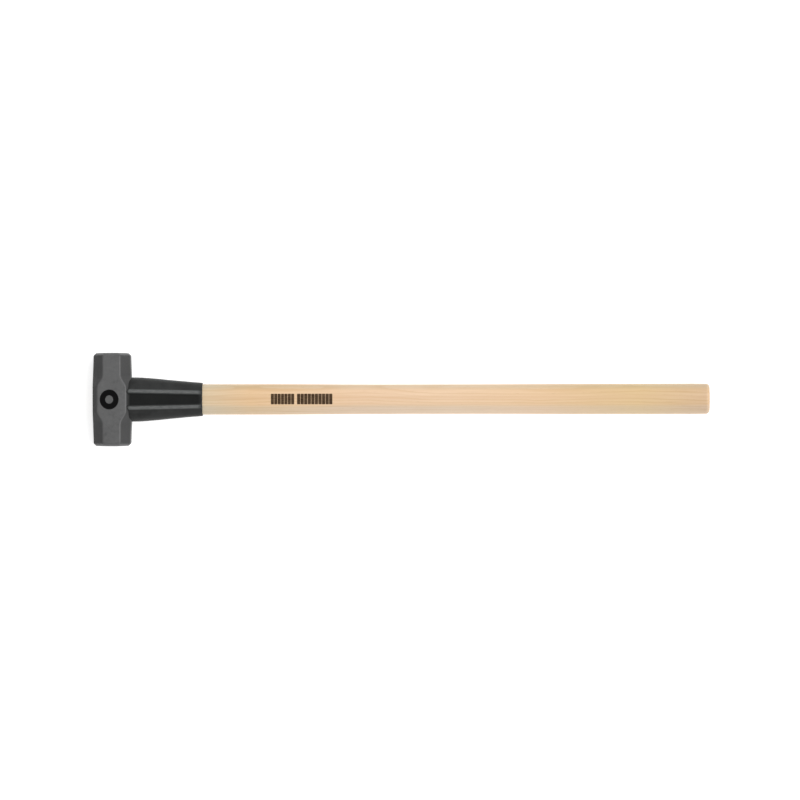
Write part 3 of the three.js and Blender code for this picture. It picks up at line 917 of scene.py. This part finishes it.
def wedge_wood():
    g = Nodes("wedge_hardwood")
    v = g.here()
    x, y, z = g.xyz(v)
    ring = g.maths("FRACT", g.maths("DIVIDE", g.maths("ADD", z, g.maths("MULTIPLY", g.noise(g.scaled(v, (0.02, 0.06, 0.3)), 1.0, 3.0, 0.5), 3.5)), 1.7))
    f2 = g.noise(g.scaled(v, (0.06, 1.8, 3.2)), 1.0, 4.0, 0.62)
    dots = g.span(g.noise(g.scaled(v, (0.3, 4.2, 4.2)), 1.0, 2.0, 0.5), 0.58, 0.70)
    base = g.ramp(ring, [(0.0, (0.30, 0.17, 0.075)), (0.35, (0.42, 0.255, 0.12)), (1.0, (0.345, 0.20, 0.09))])
    base = g.mix(g.span(f2, 0.42, 0.7, 0.0, 0.5), base, (0.215, 0.118, 0.05))
    base = g.mix(g.maths("MULTIPLY", dots, 0.6), base, (0.115, 0.06, 0.025))
    n = g.bump(f2, 0.3, 0.0002)
    n = g.bump(g.maths("SUBTRACT", 1.0, dots), 0.3, 0.00015, n)
    g.surface(Base_Color=base, Roughness=g.span(f2, 0.3, 0.7, 0.55, 0.75, "LINEAR"), Normal=n)
    return g.m


def wedge_steel():
    g = Nodes("wedge_steel")
    v = g.here()
    blot = g.noise(v, 0.5, 4.0, 0.6)
    brush = g.noise(g.scaled(v, (0.25, 1.4, 5.5)), 1.0, 4.0, 0.6)
    hits = g.voronoi(v, 0.55, "SMOOTH_F1")
    base = g.ramp(blot, [(0.3, (0.17, 0.172, 0.178)), (0.55, (0.31, 0.315, 0.322)), (0.8, (0.44, 0.445, 0.45))])
    base = g.mix(g.span(g.noise(g.moved(v, (9.0, 4.0, 1.0)), 1.1, 4.0, 0.7), 0.58, 0.72, 0.0, 0.55), base, (0.12, 0.075, 0.045))
    n = g.bump(brush, 0.25, 0.00012)
    n = g.bump(hits, 0.35, 0.0004, n)
    g.surface(Base_Color=base, Metallic=g.span(blot, 0.3, 0.5, 0.85, 1.0, "LINEAR"), Roughness=g.span(brush, 0.3, 0.7, 0.28, 0.46, "LINEAR"), Normal=n)
    return g.m


def guard_rubber():
    g = Nodes("guard_rubber")
    v = g.here()
    pebble = g.voronoi(v, 0.95, "SMOOTH_F1")
    fine = g.noise(v, 3.2, 3.0, 0.6)
    haze = g.noise(v, 0.05, 4.0, 0.6)
    scuff = g.noise(g.scaled(v, (0.05, 0.5, 0.5)), 1.0, 4.0, 0.62)
    base = g.ramp(haze, [(0.3, (0.0155, 0.0162, 0.0160)), (0.55, (0.0225, 0.0234, 0.0231)), (0.75, (0.0310, 0.0320, 0.0317))])
    base = g.mix(g.span(scuff, 0.56, 0.74, 0.0, 0.30), base, (0.046, 0.0475, 0.047))
    # the recessed channel between the ribs is painted near black: painted shade in the recess
    base = g.mix(g.maths("MULTIPLY", g.attr("channel"), 0.94), base, (0.0030, 0.0036, 0.0034))
    # the ribs' tops are painted lighter in patches: a painted highlight where the ribs catch the light
    painted_rib_highlight = g.maths("MULTIPLY", g.attr("rib"), g.span(g.noise(g.scaled(v, (0.12, 1.0, 1.0)), 1.0, 3.0, 0.6), 0.3, 0.62, 0.55, 1.0))
    base = g.mix(g.maths("MULTIPLY", painted_rib_highlight, 0.88), base, (0.124, 0.129, 0.128))
    rough = g.span(haze, 0.3, 0.7, 0.50, 0.62, "LINEAR")
    rough = g.maths("ADD", rough, g.span(fine, 0.3, 0.7, -0.03, 0.04, "LINEAR"))
    rough = g.maths("ADD", rough, g.maths("MULTIPLY", g.attr("channel"), 0.14), clamp=True)
    n = g.bump(pebble, 0.22, 0.00035)
    n = g.bump(fine, 0.16, 0.00010, n)
    g.surface(Base_Color=base, Roughness=rough, Normal=n)
    g.p.inputs["Specular IOR Level"].default_value = 0.18
    return g.m


def stage_white():
    g = Nodes("studio_white")
    v = g.here()
    faint = g.noise(v, 0.004, 2.0, 0.5)
    g.surface(Base_Color=g.ramp(faint, [(0.3, (0.675, 0.675, 0.677)), (0.7, (0.692, 0.692, 0.692))]), Roughness=0.9)
    g.p.inputs["Specular IOR Level"].default_value = 0.1
    g.p.inputs["Emission Color"].default_value = (1.0, 1.0, 1.0, 1.0)
    g.p.inputs["Emission Strength"].default_value = 0.68
    return g.m


def dress(ob, mat):
    ob.data.materials.clear()
    ob.data.materials.append(mat)


dress(head, head_paint())
dress(handle, hickory())
dress(wood, wedge_wood())
steel_mat = wedge_steel()
dress(steel_a, steel_mat)
dress(steel_b, steel_mat)
dress(guard, guard_rubber())

for ob, node, slot in (
    (head, "hammer_head", "head_paint"),
    (handle, "handle", "handle_wood"),
    (wood, "wood_wedge", "wedge_wood"),
    (steel_a, "steel_wedge_a", "wedge_steel"),
    (steel_b, "steel_wedge_b", "wedge_steel"),
    (guard, "overstrike_guard", "guard_rubber"),
):
    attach(ob, "root")
    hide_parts(node)

# =====================================================================================
# stage, light and camera
# =====================================================================================
R = 40000.0
ring0 = [(R * math.cos(t), R * math.sin(t), -0.3) for t in np.linspace(0, 2 * math.pi, 64, endpoint=False)]
floor = build("floor", [(427.0 + p[0], p[1], p[2]) for p in ring0], [tuple(range(64))])
if floor.data.polygons[0].normal.z < 0:
    floor.data.flip_normals()
dress(floor, stage_white())

scene = bpy.context.scene
world = bpy.data.worlds.new("studio")
scene.world = world
world.use_nodes = True
wt = world.node_tree
wt.nodes.clear()
w_out = wt.nodes.new("ShaderNodeOutputWorld")
w_bg = wt.nodes.new("ShaderNodeBackground")
w_tc = wt.nodes.new("ShaderNodeTexCoord")
w_sep = wt.nodes.new("ShaderNodeSeparateXYZ")
w_ramp = wt.nodes.new("ShaderNodeValToRGB")
w_side = wt.nodes.new("ShaderNodeMath")
wt.links.new(w_tc.outputs["Generated"], w_sep.inputs[0])
wt.links.new(w_sep.outputs[2], w_ramp.inputs[0])
# pale at the horizon, brightest half way up and darker overhead, and stronger from the handle's side
els = w_ramp.color_ramp.elements
els[0].position, els[0].color = 0.0, (1.0, 1.0, 1.0, 1)
els[1].position, els[1].color = 1.0, (0.38, 0.38, 0.385, 1)
for pos, lum in ((0.13, 1.0), (0.28, 0.56), (0.70, 0.66), (0.90, 0.42)):
    e = els.new(pos)
    e.color = (lum, lum, lum, 1)
w_up = wt.nodes.new("ShaderNodeMath")
w_up.operation = "MULTIPLY"
wt.links.new(w_sep.outputs[0], w_up.inputs[0])
wt.links.new(w_sep.outputs[2], w_up.inputs[1])
w_side.operation = "MULTIPLY_ADD"
wt.links.new(w_up.outputs[0], w_side.inputs[0])
w_side.inputs[1].default_value = 1.15
w_side.inputs[2].default_value = 1.0
wt.links.new(w_ramp.outputs[0], w_bg.inputs[0])
wt.links.new(w_side.outputs[0], w_bg.inputs[1])
wt.links.new(w_bg.outputs[0], w_out.inputs[0])

key = bpy.data.lights.new("key", "SUN")
key.energy = 2.12
key.angle = math.radians(50.0)
key_ob = bpy.data.objects.new("key", key)
scene.collection.objects.link(key_ob)
key_from = Vector((math.sin(math.radians(29.0)), math.sin(math.radians(8.0)), math.cos(math.radians(30.0))))
key_ob.rotation_euler = (-key_from).to_track_quat("-Z", "Y").to_euler()
key_ob.location = key_from * 3.0

cam_data = bpy.data.cameras.new("camera")
cam_data.type = "PERSP"
cam_data.lens = 200.0
cam_data.sensor_width = 36.0
cam_data.dof.use_dof = False
cam_data.clip_start, cam_data.clip_end = 0.1, 200.0
cam = bpy.data.objects.new("camera", cam_data)
scene.collection.objects.link(cam)
PX_MM = 1.4845  # millimetres per pixel at the height of the handle's axis
CAM_D = 800 * PX_MM / 0.18
cam.location = ((X_END - 309.3 * PX_MM) * MM, -0.85 * PX_MM * MM, (AXIS_Z + CAM_D) * MM)
cam.rotation_euler = (0.0, 0.0, -0.0013)  # the shot leans by a hair
scene.camera = cam

scene.view_settings.view_transform = "Standard"
scene.view_settings.look = "None"
scene.view_settings.exposure = 0.0
scene.view_settings.gamma = 1.0

bpy.context.view_layer.update()
